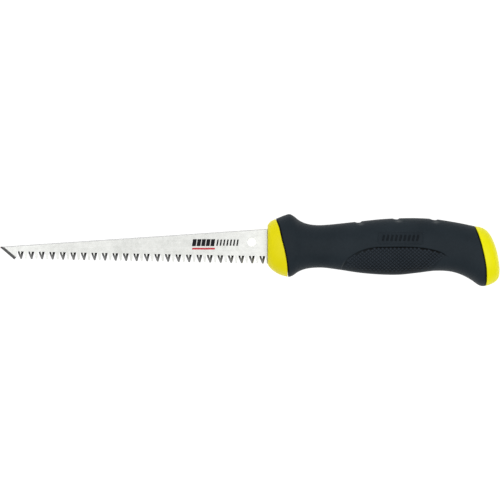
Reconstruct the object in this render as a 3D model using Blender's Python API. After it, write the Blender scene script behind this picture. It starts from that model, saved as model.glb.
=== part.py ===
import math

import bmesh
import bpy
from mathutils import Vector

# A drywall saw lying on its side. X runs from the blade's point to the butt of the handle, Y from the
# teeth to the back of the blade, and Z up through the thickness. Sizes are in metres.

MID_Z = 0.0145  # height of the middle plane, half of the handle's greatest thickness
GAP = 0.0003  # clearance between pieces that touch

# Blade
BLADE_THICKNESS = 0.0013
BLADE_POINT = (-0.1425, 0.0019)
PLUNGE_END = (-0.1345, -0.0055)
PLUNGE_CORNER = (-0.1334, -0.0047)
PLUNGE_BEVEL = 0.0013
BACK_HEEL = (0.0132, 0.01235)
FIRST_TOOTH = (-0.1308, -0.0050)
TOOTH_LINE_SLOPE = -0.0195
TOOTH_PITCH = 0.003
TOOTH_COUNT = 48  # cutting points, ground by turns from the upper and from the lower face
TOOTH_DEPTH = 0.0041
WIDE_TOOTH = (0.00155, 0.0001)  # half widths at root and tip
SLIM_TOOTH = (0.00110, 0.0003)
SLIM_TOOTH_SHORTER = 0.0004
TOOTH_BEVEL = 0.00105  # width of a ground flank on the blade's face
BEVEL_LAND = 0.00012  # flat left under each ground edge
HANG_HOLE = (0.0011, 0.0044)
HANG_HOLE_RADIUS = 0.00257
HOLE_SIDES = 40

# Tang and what holds it
TANG_LOW = -0.0043
TANG_HIGH = 0.0083
TANG_END = 0.0880
TANG_CORNER = 0.0025
HEEL_INSIDE = 0.0115
TANG_PINS = (0.0330, 0.0720)
DOWEL_X = 0.1080
PIN_Y = 0.0020
PIN_RADIUS = 0.0020
PIN_HALF_LENGTH = 0.0060
PIN_SIDES = 32

# Handle: each station gives the top edge's x and y, the bottom edge's x and y, the half thickness and
# the exponent of the rounded section
STATIONS = (
    (0.0102, 0.0139, 0.0102, -0.0079, 0.0092, 2.9),
    (0.0106, 0.0149, 0.0107, -0.0090, 0.0104, 2.8),
    (0.0120, 0.0164, 0.0128, -0.0114, 0.0120, 2.7),
    (0.0146, 0.0177, 0.0170, -0.0140, 0.0134, 2.6),
    (0.0172, 0.0188, 0.0217, -0.0153, 0.0141, 2.5),
    (0.0203, 0.0200, 0.0238, -0.0150, 0.0145, 2.5),
    (0.0228, 0.02055, 0.0256, -0.0139, 0.0145, 2.5),
    (0.0252, 0.0193, 0.0276, -0.0125, 0.0140, 2.5),
    (0.0283, 0.0169, 0.0303, -0.0113, 0.0131, 2.45),
    (0.0320, 0.0152, 0.0335, -0.0105, 0.0123, 2.4),
    (0.0370, 0.0143, 0.0378, -0.0101, 0.0118, 2.4),
    (0.0430, 0.01435, 0.0430, -0.0102, 0.0117, 2.4),
    (0.0530, 0.0153, 0.0520, -0.0114, 0.0122, 2.4),
    (0.0640, 0.0165, 0.0625, -0.0130, 0.0129, 2.4),
    (0.0760, 0.0177, 0.0740, -0.0140, 0.0134, 2.4),
    (0.0870, 0.0182, 0.0850, -0.01415, 0.0135, 2.4),
    (0.0970, 0.0182, 0.0955, -0.0131, 0.0131, 2.4),
    (0.1060, 0.0176, 0.1055, -0.0119, 0.0127, 2.4),
    (0.1135, 0.0165, 0.1140, -0.0122, 0.0126, 2.4),
    (0.1193, 0.0155, 0.1205, -0.0140, 0.0129, 2.4),
    (0.1242, 0.0145, 0.1260, -0.0168, 0.0135, 2.45),
    (0.1280, 0.0137, 0.1310, -0.0202, 0.0142, 2.5),
    (0.1310, 0.0132, 0.1345, -0.0205, 0.0145, 2.5),
    (0.1340, 0.0120, 0.1378, -0.0194, 0.0144, 2.5),
    (0.1366, 0.0094, 0.1402, -0.0180, 0.0134, 2.5),
    (0.1388, 0.0052, 0.1417, -0.0161, 0.0114, 2.5),
    (0.1404, 0.0008, 0.1423, -0.0140, 0.0085, 2.5),
    (0.1414, -0.0032, 0.1425, -0.0114, 0.0048, 2.5),
)
NOSE_X = STATIONS[0][0]
ROUND_SIDES = 28
SPINE_SIDES = 20
REACH = 0.03  # how far the cuts along the seams run past the handle's edges
FRONT_SEAM = (
    (0.0150, 0.0179), (0.0171, 0.0126), (0.0187, 0.0062),
    (0.0205, -0.0006), (0.0217, -0.0079), (0.0221, -0.0153),
)
REAR_SEAM = (
    (0.1280, 0.0138), (0.1310, 0.0067), (0.1328, 0.0013), (0.1342, -0.0042),
    (0.1351, -0.0097), (0.1354, -0.0151), (0.1349, -0.0186), (0.1334, -0.0206),
)
SPINE_FIRST = 3  # the core's spine runs between these stations
SPINE_LAST = 22
GRIP_WALL = 0.0028

# Details of the grip
NOTCHES = ((0.0620, 0.0172), (0.0840, 0.0190), (0.1056, 0.0184))
NOTCH_RADIUS = 0.0019
NOTCH_LENGTH = 0.0130
PANEL_TOP = (
    (0.0570, -0.0030), (0.0630, -0.0002), (0.0718, 0.0016), (0.0830, 0.0019),
    (0.0945, 0.0016), (0.1055, -0.0002), (0.1128, -0.0040),
)
PANEL_BOTTOM = (
    (0.1070, -0.0082), (0.0960, -0.0095), (0.0830, -0.0100), (0.0700, -0.0098), (0.0560, -0.0085),
)
PANEL_DEPTH = 0.0004
EMBLEM_CENTRE = (0.0854, 0.0068)
EMBLEM_SIZE = (0.0266, 0.0072)
EMBLEM_LINE = 0.0009
EMBLEM_CORNER = 0.0012
EMBLEM_RAISED = 0.0004


def clear_scene():
    for obj in list(bpy.data.objects):
        bpy.data.objects.remove(obj, do_unlink=True)


def make_collections():
    saw = bpy.data.collections.new("drywall_saw")
    cutters = bpy.data.collections.new("cutters")
    bpy.context.scene.collection.children.link(saw)
    bpy.context.scene.collection.children.link(cutters)
    cutters.hide_render = True
    return saw, cutters


def material(name, colour, roughness, metallic):
    made = bpy.data.materials.new(name)
    made.use_nodes = True
    shader = made.node_tree.nodes["Principled BSDF"]
    shader.inputs["Base Color"].default_value = (*colour, 1.0)
    shader.inputs["Roughness"].default_value = roughness
    shader.inputs["Metallic"].default_value = metallic
    return made


def place(obj, collection, finish=None):
    collection.objects.link(obj)
    if finish is None:
        obj.hide_render = True
        obj.display_type = "WIRE"
    else:
        obj.data.materials.append(finish)
    return obj


def spline(points, steps):
    """Catmull-Rom curve through rows of numbers, so that few dimensions give a smooth edge."""
    rows = [Vector(p) for p in points]
    rows = [2 * rows[0] - rows[1]] + rows + [2 * rows[-1] - rows[-2]]
    curve = []
    for a, b, c, d in zip(rows, rows[1:], rows[2:], rows[3:]):
        for k in range(steps):
            t = k / steps
            square = (2 * a - 5 * b + 4 * c - d) * t**2
            cube = (3 * b - a - 3 * c + d) * t**3
            curve.append((2 * b + (c - a) * t + square + cube) / 2)
    curve.append(rows[-2])
    return curve


def prism(name, outline, low, high):
    """A flat outline given thickness between two heights."""
    data = bpy.data.curves.new(name, "CURVE")
    data.dimensions = "2D"
    data.fill_mode = "BOTH"
    data.extrude = (high - low) / 2
    line = data.splines.new("POLY")
    line.points.add(len(outline) - 1)
    for point, (x, y) in zip(line.points, outline):
        point.co = (x, y, 0.0, 1.0)
    line.use_cyclic_u = True
    guide = bpy.data.objects.new(name + "_guide", data)
    bpy.context.scene.collection.objects.link(guide)
    bpy.context.view_layer.update()
    graph = bpy.context.evaluated_depsgraph_get()
    mesh = bpy.data.meshes.new_from_object(guide.evaluated_get(graph))
    bpy.data.objects.remove(guide, do_unlink=True)
    mesh.materials.clear()
    solid = bmesh.new()
    solid.from_mesh(mesh)
    bmesh.ops.remove_doubles(solid, verts=solid.verts, dist=1e-6)
    bmesh.ops.recalc_face_normals(solid, faces=solid.faces)
    bmesh.ops.translate(solid, verts=solid.verts, vec=(0, 0, (low + high) / 2))
    solid.to_mesh(mesh)
    solid.free()
    mesh.name = name
    return bpy.data.objects.new(name, mesh)


def rod(name, x, y, low, high, radius, sides):
    """An upright round bar with its origin on its own axis."""
    mesh = bpy.data.meshes.new(name)
    solid = bmesh.new()
    bmesh.ops.create_cone(
        solid,
        cap_ends=True,
        segments=sides,
        radius1=radius,
        radius2=radius,
        depth=high - low,
    )
    solid.to_mesh(mesh)
    solid.free()
    made = bpy.data.objects.new(name, mesh)
    made.location = (x, y, (low + high) / 2)
    return made


def section(station, inset, sides):
    """One closed ring of the handle, set in from its surface by the inset."""
    top = Vector((station[0], station[1], 0))
    low = Vector((station[2], station[3], 0))
    thick = min(station[4], MID_Z) - inset
    power = 2 / station[5]
    middle = (top + low) / 2
    half = (top - low) / 2
    half *= (half.length - inset) / half.length
    ring = []
    for k in range(sides):
        angle = 2 * math.pi * k / sides
        along, across = math.cos(angle), math.sin(angle)
        rise = math.copysign(abs(along) ** power, along)
        side = math.copysign(abs(across) ** power, across)
        ring.append(middle + half * rise + Vector((0, 0, MID_Z + thick * side)))
    return ring


def loft(name, stations, inset, sides, longer=0.0):
    """The handle's skin over a run of stations, closed by flat ends."""
    rings = [section(s, inset, sides) for s in stations]
    for point in rings[-1]:
        point.x += longer
    mesh = bpy.data.meshes.new(name)
    solid = bmesh.new()
    verts = [[solid.verts.new(p) for p in ring] for ring in rings]
    for near, far in zip(verts, verts[1:]):
        for k in range(sides):
            m = (k + 1) % sides
            solid.faces.new((near[k], near[m], far[m], far[k]))
    solid.faces.new(verts[0])
    solid.faces.new(verts[-1])
    bmesh.ops.recalc_face_normals(solid, faces=solid.faces)
    bmesh.ops.triangulate(solid, faces=solid.faces)
    solid.to_mesh(mesh)
    solid.free()
    return bpy.data.objects.new(name, mesh)


def boolean(obj, operation, other):
    step = obj.modifiers.new(operation.title(), "BOOLEAN")
    step.operation = operation
    step.solver = "EXACT"
    step.object = other


def smooth(obj, degrees):
    mesh = obj.data
    mesh.shade_smooth()
    mesh.set_sharp_from_angle(angle=math.radians(degrees))


def tooth_line(x):
    return FIRST_TOOTH[1] + (x - FIRST_TOOTH[0]) * TOOTH_LINE_SLOPE


def root_line(x):
    return tooth_line(x) + TOOTH_DEPTH


def tooth_shape(index):
    """Centre, half width at the root, half width at the tip and height of the tip's line."""
    centre = FIRST_TOOTH[0] + index * TOOTH_PITCH
    if index % 2 == 0:
        return centre, *WIDE_TOOTH, 0.0
    return centre, *SLIM_TOOTH, SLIM_TOOTH_SHORTER


def blade_outline():
    outline = [BLADE_POINT, PLUNGE_END, PLUNGE_CORNER]
    gullet = FIRST_TOOTH[0] - WIDE_TOOTH[0] - 0.0005
    outline.append((gullet, root_line(gullet)))
    for index in range(TOOTH_COUNT - 1):
        centre, root, tip, shorter = tooth_shape(index)
        outline.append((centre - root, root_line(centre - root)))
        outline.append((centre - tip, tooth_line(centre) + shorter))
        outline.append((centre + tip, tooth_line(centre) + shorter))
        outline.append((centre + root, root_line(centre + root)))
    centre, root, tip, shorter = tooth_shape(TOOTH_COUNT - 1)
    heel = tooth_line(centre) + shorter
    outline.append((centre - root, root_line(centre - root)))
    outline.append((centre - tip, heel))
    outline.append((HEEL_INSIDE, heel))
    outline.append((HEEL_INSIDE, TANG_LOW))
    outline.append((TANG_END - TANG_CORNER, TANG_LOW))
    outline.append((TANG_END, TANG_LOW + TANG_CORNER))
    outline.append((TANG_END, TANG_HIGH - TANG_CORNER))
    outline.append((TANG_END - TANG_CORNER, TANG_HIGH))
    outline.append((BACK_HEEL[0], TANG_HIGH))
    outline.append(BACK_HEEL)
    return outline


def wedge(solid, outer, inner, over, face_z, up):
    """Adds a bar that grinds away the corner between an edge and a line set in from it on the face."""
    far_z = face_z - up * (BLADE_THICKNESS - BEVEL_LAND)
    lean = Vector((over[0], over[1], 0))
    ends = []
    for near, away in zip(inner, outer):
        near = Vector((near[0], near[1], face_z))
        away = Vector((away[0], away[1], far_z))
        beyond = near + (near - away) * 0.4
        corner = Vector((away.x, away.y, beyond.z))
        ends.append([solid.verts.new(p) for p in (away, beyond, corner + lean, away + lean)])
    a, b = ends
    faces = [a, list(reversed(b))]
    for k in range(4):
        m = (k + 1) % 4
        faces.append((a[m], a[k], b[k], b[m]))
    for corners in faces:
        solid.faces.new(corners)


def tooth_grinder(name, first, up, side):
    """The bars that grind one flank of every second tooth from one face."""
    mesh = bpy.data.meshes.new(name)
    solid = bmesh.new()
    face_z = MID_Z + up * BLADE_THICKNESS / 2
    for index in range(first, TOOTH_COUNT - 1, 2):
        centre, root, tip, shorter = tooth_shape(index)
        low = tooth_line(centre) + shorter
        high = root_line(centre)
        slope = (root - tip) / (high - low)
        ends = high + 0.00015, low - 0.0004
        outer = [(centre + side * (root + (y - high) * slope), y) for y in ends]
        inner = [(x - side * min(TOOTH_BEVEL, root * 0.68), y) for x, y in outer]
        wedge(solid, outer, inner, (side * 0.00016, 0), face_z, up)
    bmesh.ops.recalc_face_normals(solid, faces=solid.faces)
    solid.to_mesh(mesh)
    solid.free()
    return bpy.data.objects.new(name, mesh)


def plunge_grinder(name):
    mesh = bpy.data.meshes.new(name)
    solid = bmesh.new()
    start, end = Vector(BLADE_POINT), Vector(PLUNGE_END)
    run = (end - start).normalized()
    inward = Vector((-run.y, run.x))
    first, last = start - run * 0.003, end + run * 0.0009
    outer = (first, last)
    inner = (first + inward * PLUNGE_BEVEL, last + inward * PLUNGE_BEVEL)
    wedge(solid, outer, inner, inward * -0.003, MID_Z + BLADE_THICKNESS / 2, 1)
    bmesh.ops.recalc_face_normals(solid, faces=solid.faces)
    solid.to_mesh(mesh)
    solid.free()
    return bpy.data.objects.new(name, mesh)


def make_blade(saw, cutters, steel):
    low, high = MID_Z - BLADE_THICKNESS / 2, MID_Z + BLADE_THICKNESS / 2
    blade = place(prism("blade", blade_outline(), low, high), saw, steel)
    for grinder in (
        tooth_grinder("upper_front_flank_grinder", 0, 1, -1),
        tooth_grinder("upper_back_flank_grinder", 0, 1, 1),
        tooth_grinder("lower_front_flank_grinder", 1, -1, -1),
        tooth_grinder("lower_back_flank_grinder", 1, -1, 1),
        plunge_grinder("plunge_edge_grinder"),
        rod("hang_hole_cutter", *HANG_HOLE, low - 0.001, high + 0.001, HANG_HOLE_RADIUS, HOLE_SIDES),
    ):
        boolean(blade, "DIFFERENCE", place(grinder, cutters))
    for k, x in enumerate(TANG_PINS):
        name = f"tang_hole_cutter_{k}"
        hole = rod(name, x, PIN_Y, low - 0.001, high + 0.001, PIN_RADIUS + GAP, PIN_SIDES)
        boolean(blade, "DIFFERENCE", place(hole, cutters))


def handle_block(name, front, rear, front_shift, rear_shift):
    """A block as high as the handle, bounded by two lines that cross it from top to bottom."""
    outline = [(p[0] + front_shift, p[1]) for p in front]
    outline += [(p[0] + rear_shift, p[1]) for p in reversed(rear)]
    return prism(name, outline, -0.005, 2 * MID_Z + 0.005)


def seam(points, lean):
    """A seam between two pieces, run on past the handle's edges."""
    line = spline(points, 3)
    return [(line[0].x + lean, REACH)] + [(p.x, p.y) for p in line] + [(line[-1].x + lean, -REACH)]


def straight(x):
    return [(x, REACH), (x, -REACH)]


def pocket_outline():
    """The tang's outline set out by the clearance."""
    heel = tooth_line(NOSE_X) + SLIM_TOOTH_SHORTER
    front = NOSE_X - 0.002
    return [
        (front, heel - GAP),
        (HEEL_INSIDE + GAP, heel - GAP),
        (HEEL_INSIDE + GAP, TANG_LOW - GAP),
        (TANG_END + GAP, TANG_LOW - GAP),
        (TANG_END + GAP, TANG_HIGH + GAP),
        (BACK_HEEL[0] + GAP, TANG_HIGH + GAP),
        (BACK_HEEL[0] + GAP, BACK_HEEL[1] + GAP),
        (front, BACK_HEEL[1] + GAP),
    ]


def make_core(saw, cutters, yellow, skin):
    """Two mirrored halves: the nose in front of the seam, and a spine that ends inside the butt."""
    spine = loft("spine_form", STATIONS[SPINE_FIRST : SPINE_LAST + 1], GRIP_WALL, SPINE_SIDES)
    spine = place(spine, cutters)
    nose_block = handle_block("nose_block", straight(NOSE_X - 0.01), seam(FRONT_SEAM, 0.0), 0.0, -GAP / 2)
    nose_block = place(nose_block, cutters)
    slot = BLADE_THICKNESS / 2 + GAP
    pocket = place(prism("tang_pocket", pocket_outline(), MID_Z - slot, MID_Z + slot), cutters)
    for name, up in (("core_left", 1), ("core_right", -1)):
        half = place(bpy.data.objects.new(name, skin.data.copy()), saw, yellow)
        boolean(half, "INTERSECT", nose_block)
        boolean(half, "UNION", spine)
        split = sorted((MID_Z + up * GAP / 2, MID_Z + up * REACH))
        side = prism(name + "_side", straight(0.0) + straight(0.16)[::-1], *split)
        boolean(half, "INTERSECT", place(side, cutters))
        boolean(half, "DIFFERENCE", pocket)
        for k, x in enumerate((*TANG_PINS, DOWEL_X)):
            low, high = MID_Z - PIN_HALF_LENGTH - GAP, MID_Z + PIN_HALF_LENGTH + GAP
            hole = rod(f"{name}_pin_socket_{k}", x, PIN_Y, low, high, PIN_RADIUS + GAP, PIN_SIDES)
            boolean(half, "DIFFERENCE", place(hole, cutters))
        smooth(half, 35)


def make_pins(saw, steel):
    for name, x in zip(("tang_pin_front", "tang_pin_rear", "core_dowel"), (*TANG_PINS, DOWEL_X)):
        low, high = MID_Z - PIN_HALF_LENGTH, MID_Z + PIN_HALF_LENGTH
        pin = place(rod(name, x, PIN_Y, low, high, PIN_RADIUS, PIN_SIDES), saw, steel)
        smooth(pin, 35)


def rounded_box_outline(centre, size, corner):
    outline = []
    for qx, qy, start in ((1, 1, 0), (-1, 1, 90), (-1, -1, 180), (1, -1, 270)):
        cx = centre[0] + qx * (size[0] / 2 - corner)
        cy = centre[1] + qy * (size[1] / 2 - corner)
        for step in range(4):
            angle = math.radians(start + 30 * step)
            outline.append((cx + corner * math.cos(angle), cy + corner * math.sin(angle)))
    return outline


def make_grip(saw, cutters, rubber, skin, socket):
    grip = place(bpy.data.objects.new("grip_sleeve", skin.data.copy()), saw, rubber)
    block = handle_block("grip_block", seam(FRONT_SEAM, 0.0), seam(REAR_SEAM, -0.004), GAP / 2, -GAP / 2)
    boolean(grip, "INTERSECT", place(block, cutters))
    for k, (x, y) in enumerate(NOTCHES):
        notch = rod(f"notch_cutter_{k}", 0, 0, -NOTCH_LENGTH / 2, NOTCH_LENGTH / 2, NOTCH_RADIUS, 24)
        notch.location = (x, y, MID_Z)
        boolean(grip, "DIFFERENCE", place(notch, cutters))
    panel = [(p.x, p.y) for p in spline(PANEL_TOP, 2)] + [(p.x, p.y) for p in spline(PANEL_BOTTOM, 2)]
    panel = place(prism("panel_cutter", panel, -0.005, 2 * MID_Z + 0.005), cutters)
    floor = place(loft("panel_floor", spline(STATIONS, 2), PANEL_DEPTH, ROUND_SIDES), cutters)
    boolean(panel, "DIFFERENCE", floor)
    boolean(grip, "DIFFERENCE", panel)
    emblem = rounded_box_outline(EMBLEM_CENTRE, EMBLEM_SIZE, EMBLEM_CORNER)
    emblem = place(prism("emblem_form", emblem, -0.005, 2 * MID_Z + 0.005), cutters)
    inner = (EMBLEM_SIZE[0] - 2 * EMBLEM_LINE, EMBLEM_SIZE[1] - 2 * EMBLEM_LINE)
    window = rounded_box_outline(EMBLEM_CENTRE, inner, EMBLEM_CORNER / 2)
    window = place(prism("emblem_window", window, -0.006, 2 * MID_Z + 0.006), cutters)
    proud = place(loft("emblem_height", spline(STATIONS, 2), -EMBLEM_RAISED, ROUND_SIDES), cutters)
    boolean(emblem, "DIFFERENCE", window)
    boolean(emblem, "INTERSECT", proud)
    boolean(grip, "UNION", emblem)
    boolean(grip, "DIFFERENCE", socket)
    smooth(grip, 30)


def make_butt(saw, cutters, yellow, skin, socket):
    butt = place(bpy.data.objects.new("butt_cap", skin.data.copy()), saw, yellow)
    block = handle_block("butt_block", seam(REAR_SEAM, -0.004), straight(0.16), GAP / 2, 0.0)
    boolean(butt, "INTERSECT", place(block, cutters))
    boolean(butt, "DIFFERENCE", socket)
    smooth(butt, 30)


def main():
    clear_scene()
    saw, cutters = make_collections()
    steel = material("blade_steel", (0.62, 0.63, 0.62), 0.35, 1.0)
    pin_steel = material("pin_steel", (0.45, 0.45, 0.46), 0.40, 1.0)
    core_yellow = material("core_yellow", (0.72, 0.66, 0.02), 0.45, 0.0)
    cap_yellow = material("cap_yellow", (0.82, 0.78, 0.01), 0.40, 0.0)
    rubber = material("grip_rubber", (0.025, 0.03, 0.036), 0.60, 0.0)
    skin = place(loft("handle_form", spline(STATIONS, 2), 0.0, ROUND_SIDES), cutters)
    run = STATIONS[SPINE_FIRST : SPINE_LAST + 1]
    socket = place(loft("spine_clearance", run, GRIP_WALL - GAP, SPINE_SIDES, GAP), cutters)
    make_blade(saw, cutters, steel)
    make_core(saw, cutters, core_yellow, skin)
    make_pins(saw, pin_steel)
    make_grip(saw, cutters, rubber, skin, socket)
    make_butt(saw, cutters, cap_yellow, skin, socket)


main()
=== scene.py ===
import math

import bmesh
import bpy
import numpy as np
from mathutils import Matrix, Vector


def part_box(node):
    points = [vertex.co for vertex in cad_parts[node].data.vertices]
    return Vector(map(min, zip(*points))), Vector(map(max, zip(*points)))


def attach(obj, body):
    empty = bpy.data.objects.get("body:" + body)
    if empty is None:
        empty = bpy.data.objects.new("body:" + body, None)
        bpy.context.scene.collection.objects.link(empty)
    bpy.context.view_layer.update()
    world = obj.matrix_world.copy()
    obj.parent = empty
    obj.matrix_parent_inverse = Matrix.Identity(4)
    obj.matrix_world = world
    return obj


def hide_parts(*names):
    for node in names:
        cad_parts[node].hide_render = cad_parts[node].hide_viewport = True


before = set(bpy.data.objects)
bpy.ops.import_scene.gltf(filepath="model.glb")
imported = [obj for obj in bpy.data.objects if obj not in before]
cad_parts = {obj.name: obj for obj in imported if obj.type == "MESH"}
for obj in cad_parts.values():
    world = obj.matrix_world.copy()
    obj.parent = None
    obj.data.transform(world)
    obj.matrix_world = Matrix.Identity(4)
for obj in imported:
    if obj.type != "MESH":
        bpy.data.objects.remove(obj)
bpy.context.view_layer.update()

# Drywall saw on its side: X from point to butt, Y from teeth to back, Z through the thickness
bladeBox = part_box("blade")
midZ = (bladeBox[0].z + bladeBox[1].z) / 2
bladeThick = bladeBox[1].z - bladeBox[0].z
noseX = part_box("core_left")[0].x
gap = 0.0003  # clearance between neighbouring pieces


# shader helpers

class Wire:  # an output socket that takes part in arithmetic
    def __init__(self, paint, socket):
        self.paint = paint
        self.socket = socket

    def maths(self, operation, *values):
        return self.paint.add("Math", dict(enumerate(values)), operation=operation)

    def __add__(self, other):
        return self.maths("ADD", self, other)

    def __sub__(self, other):
        return self.maths("SUBTRACT", self, other)

    def __rsub__(self, other):
        return self.maths("SUBTRACT", other, self)

    def __mul__(self, other):
        return self.maths("MULTIPLY", self, other)

    def __truediv__(self, other):
        return self.maths("DIVIDE", self, other)

    def __lt__(self, other):
        return self.maths("LESS_THAN", self, other)

    def __abs__(self):
        return self.maths("ABSOLUTE", self)

    __radd__ = __add__
    __rmul__ = __mul__


class Paint:  # one material and its nodes
    def __init__(self, name):
        self.material = bpy.data.materials.new(name)
        self.material.use_nodes = True
        self.tree = self.material.node_tree
        self.tree.nodes.clear()

    def add(self, kind, inputs=None, output=0, **settings):
        node = self.tree.nodes.new("ShaderNode" + kind)
        for key, value in settings.items():
            if key == "stops":
                ramp = node.color_ramp
                for place, _ in value[:-2]:
                    ramp.elements.new(place)
                for stop, (place, colour) in zip(ramp.elements, value):
                    stop.position = place
                    stop.color = grey(colour) if isinstance(colour, float) else (*colour, 1.0)
            else:
                setattr(node, key, value)
        for key, value in (inputs or {}).items():
            socket = node.inputs[key]
            if isinstance(value, Wire):
                self.tree.links.new(value.socket, socket)
            else:
                socket.default_value = value
        return Wire(self, node.outputs[output])

    def coords(self, scale=(1, 1, 1), turn=(0, 0, 0)):
        place = self.add("TexCoord", output="Object")
        return self.add("Mapping", {0: place, "Scale": scale, "Rotation": turn})

    def noise(self, scale, detail=3.0, rough=0.5, where=None):
        inputs = {"Vector": where or self.coords(), "Scale": scale, "Detail": detail, "Roughness": rough}
        return self.add("TexNoise", inputs)

    def ramp(self, factor, stops):
        return self.add("ValToRGB", {0: factor}, stops=stops)

    def blend(self, factor, first, second):
        return self.add("Mix", {0: factor, 6: first, 7: second}, 2, data_type="RGBA")

    def axis(self, which):
        place = self.add("TexCoord", output="Object")
        return self.add("SeparateXYZ", {0: place}, output=which)

    def finish(self, colour, rough, sockets, bump=None, depth=0.0001, strength=0.5):
        inputs = {"Base Color": colour, "Roughness": rough, **sockets}
        if bump is not None:
            heights = {"Height": bump, "Distance": depth, "Strength": strength}
            inputs["Normal"] = self.add("Bump", heights)
        shader = self.add("BsdfPrincipled", inputs)
        end = self.tree.nodes.new("ShaderNodeOutputMaterial")
        self.tree.links.new(shader.socket, end.inputs["Surface"])
        return self.material


def grey(value):
    return (value, value, value, 1.0)


# blade sizes, which its finish reads too

blade = {  # places are x, y
    "point": (-0.1425, 0.0019),
    "plungeEnd": (-0.1345, -0.0055),
    "plungeCorner": (-0.1331, -0.0040),
    "plungeWidth": 0.00185,
    "plungeTaper": (0.92, 0.98),  # shares of that width at the point and at the lower end
    "backHeel": (0.0132, 0.01235),
    "firstTooth": (-0.1308, -0.0051),
    "firstGullet": 0.0005,  # room in front of the first tooth
    "toothSlope": -0.0195,
    "pitch": 0.003,
    "count": 48,
    "depth": 0.00432,
    # half widths at root, shoulder and tip, depth of the shoulder,
    # then the ground face's half widths at root and middle, and its depths
    "wide": (0.00170, 0.00146, 0.00044, 0.00125, 0.00046, 0.00038, 0.00085, 0.00180),
    "slim": (0.00105, 0.00090, 0.00052, 0.00190, 0.00035, 0.00026, 0.00060, 0.00120),
    "groundTip": 0.00003,
    "lean": {"wide": (0.0, 0.00032), "slim": (0.00012, 0.00022)},  # shoulder's and tip's shift towards the handle
    "flatShift": -0.00012,  # the ground face's shift at the root
    "slimShorter": 0.0001,
    "chamfer": 0.00025,
    "backTrim": 0.00050,  # bevel along the back
    "land": 0.00012,  # thickness left unground
    "hole": (0.0011, 0.0044, 0.00257),  # x, y, radius
    "holeFlare": (0.00012, 0.0002),  # extra radius at both faces, and how deep it goes
    "tang": (-0.0043, 0.0083, 0.0880, 0.0025),  # low, high, far end, cut corner
    "heelInside": 0.0115,  # where the teeth end, inside the nose
    "pinHoles": ((0.0330, 0.0020), (0.0720, 0.0020)),
    "pinHoleRadius": 0.0023,
}


# finishes

steelLook = {
    "faceTones": [(0.34, (0.295, 0.30, 0.286)), (0.50, (0.370, 0.374, 0.360)), (0.66, (0.445, 0.45, 0.434))],
    "dullest": -0.06,  # place along the blade; from there the steel is painted paler towards both ends, as painted light
    "polish": (2.0, 0.052),
    "grime": (0.11, 0.105, 0.045, 1.0),  # painted shade where the blade enters the nose
    "grimeReach": 0.001,
    "toothTones": [(0.0, 0.27), (0.55, 0.24), (0.72, 0.125), (0.86, 0.035), (1.0, 0.008)],  # from tip to root; the darkening towards the root is painted shade
    "toothNoise": 0.3,
    "toothShift": 0.15,
    "sideLight": 0.04,
    "plungeTones": [(0.3, 0.135), (0.7, 0.185)],
    "backTones": [(0.3, 0.78), (0.7, 0.90)],
}


def brushedSteel():
    paint = Paint("brushedSteel")
    streak = paint.noise(1.0, 4.0, 0.6, paint.coords(scale=(60, 3200, 800)))
    mottle = paint.noise(420.0, 4.0, 0.65)
    cloud = paint.noise(45.0, 2.0, 0.5)
    tone = streak * 0.35 + mottle * 0.45 + cloud * 0.2
    # painted light: the steel grows paler the further it lies from that place
    polish, shift = steelLook["polish"]
    tone = tone + abs(paint.axis(0) - steelLook["dullest"]) * polish - shift
    colour = paint.ramp(tone, steelLook["faceTones"])
    # painted shade: the steel darkens close to the nose's front face
    reach = (paint.axis(0) - noseX) / steelLook["grimeReach"] + 1.0
    noseShadeShare = paint.ramp(reach, [(0.50, 0.0), (0.95, 1.0)])
    colour = paint.blend(noseShadeShare, colour, steelLook["grime"])
    rough = streak * 0.10 + mottle * 0.08 + 0.20
    return paint.finish(colour, rough, {"Metallic": 0.82, "IOR": 2.2}, streak * 0.6 + mottle * 0.4, 0.00002, 0.35)


def groundSteel():
    paint = Paint("groundSteel")
    # painted shade: each tooth is darkened towards its root, in its gullet, and paler towards its tip; the plunge edge
    # is one even grey, the back's bevel pale
    lines = paint.noise(1.0, 3.0, 0.6, paint.coords(scale=(5200, 300, 300), turn=(0, 0, 0.35)))
    slope = blade["toothSlope"]
    line = blade["firstTooth"][1] - blade["firstTooth"][0] * slope
    rise = (paint.axis(1) - paint.axis(0) * slope - line) / blade["depth"]
    side = paint.add("NewGeometry", output="True Normal")
    side = paint.add("SeparateXYZ", {0: side})
    # painted light: faces turned towards +X are painted paler than those turned towards -X
    tone = rise + lines * steelLook["toothNoise"] + side * steelLook["sideLight"] - steelLook["toothShift"]
    colour = paint.ramp(tone, steelLook["toothTones"])
    pointX, pointY = blade["point"]
    edge = (Vector(blade["plungeEnd"]) - Vector(blade["point"])).normalized()
    away = (paint.axis(1) - pointY) * edge.x - (paint.axis(0) - pointX) * edge.y
    front = away < blade["plungeWidth"] * 1.08
    run = Vector(blade["backHeel"]) - Vector(blade["point"])
    below = (paint.axis(0) - pointX) * (run.y / run.x) - paint.axis(1) + pointY
    back = (below < blade["backTrim"] * 1.1) * (1.0 - (away < blade["backTrim"] * 1.8))
    colour = paint.blend(front, colour, paint.ramp(lines, steelLook["plungeTones"]))
    colour = paint.blend(back, colour, paint.ramp(lines, steelLook["backTones"]))
    sockets = {"Metallic": 0.6, "Specular IOR Level": 0.1}
    return paint.finish(colour, lines * 0.12 + 0.30, sockets, lines, 0.00002, 0.4)


def pinSteel():
    paint = Paint("pinSteel")
    rings = paint.noise(1.0, 2.0, 0.5, paint.coords(scale=(300, 300, 6000)))
    colour = paint.ramp(rings, [(0.3, (0.38, 0.38, 0.39)), (0.7, (0.52, 0.52, 0.53))])
    return paint.finish(colour, rings * 0.15 + 0.3, {"Metallic": 1.0}, rings, 0.00002, 0.4)


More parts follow.
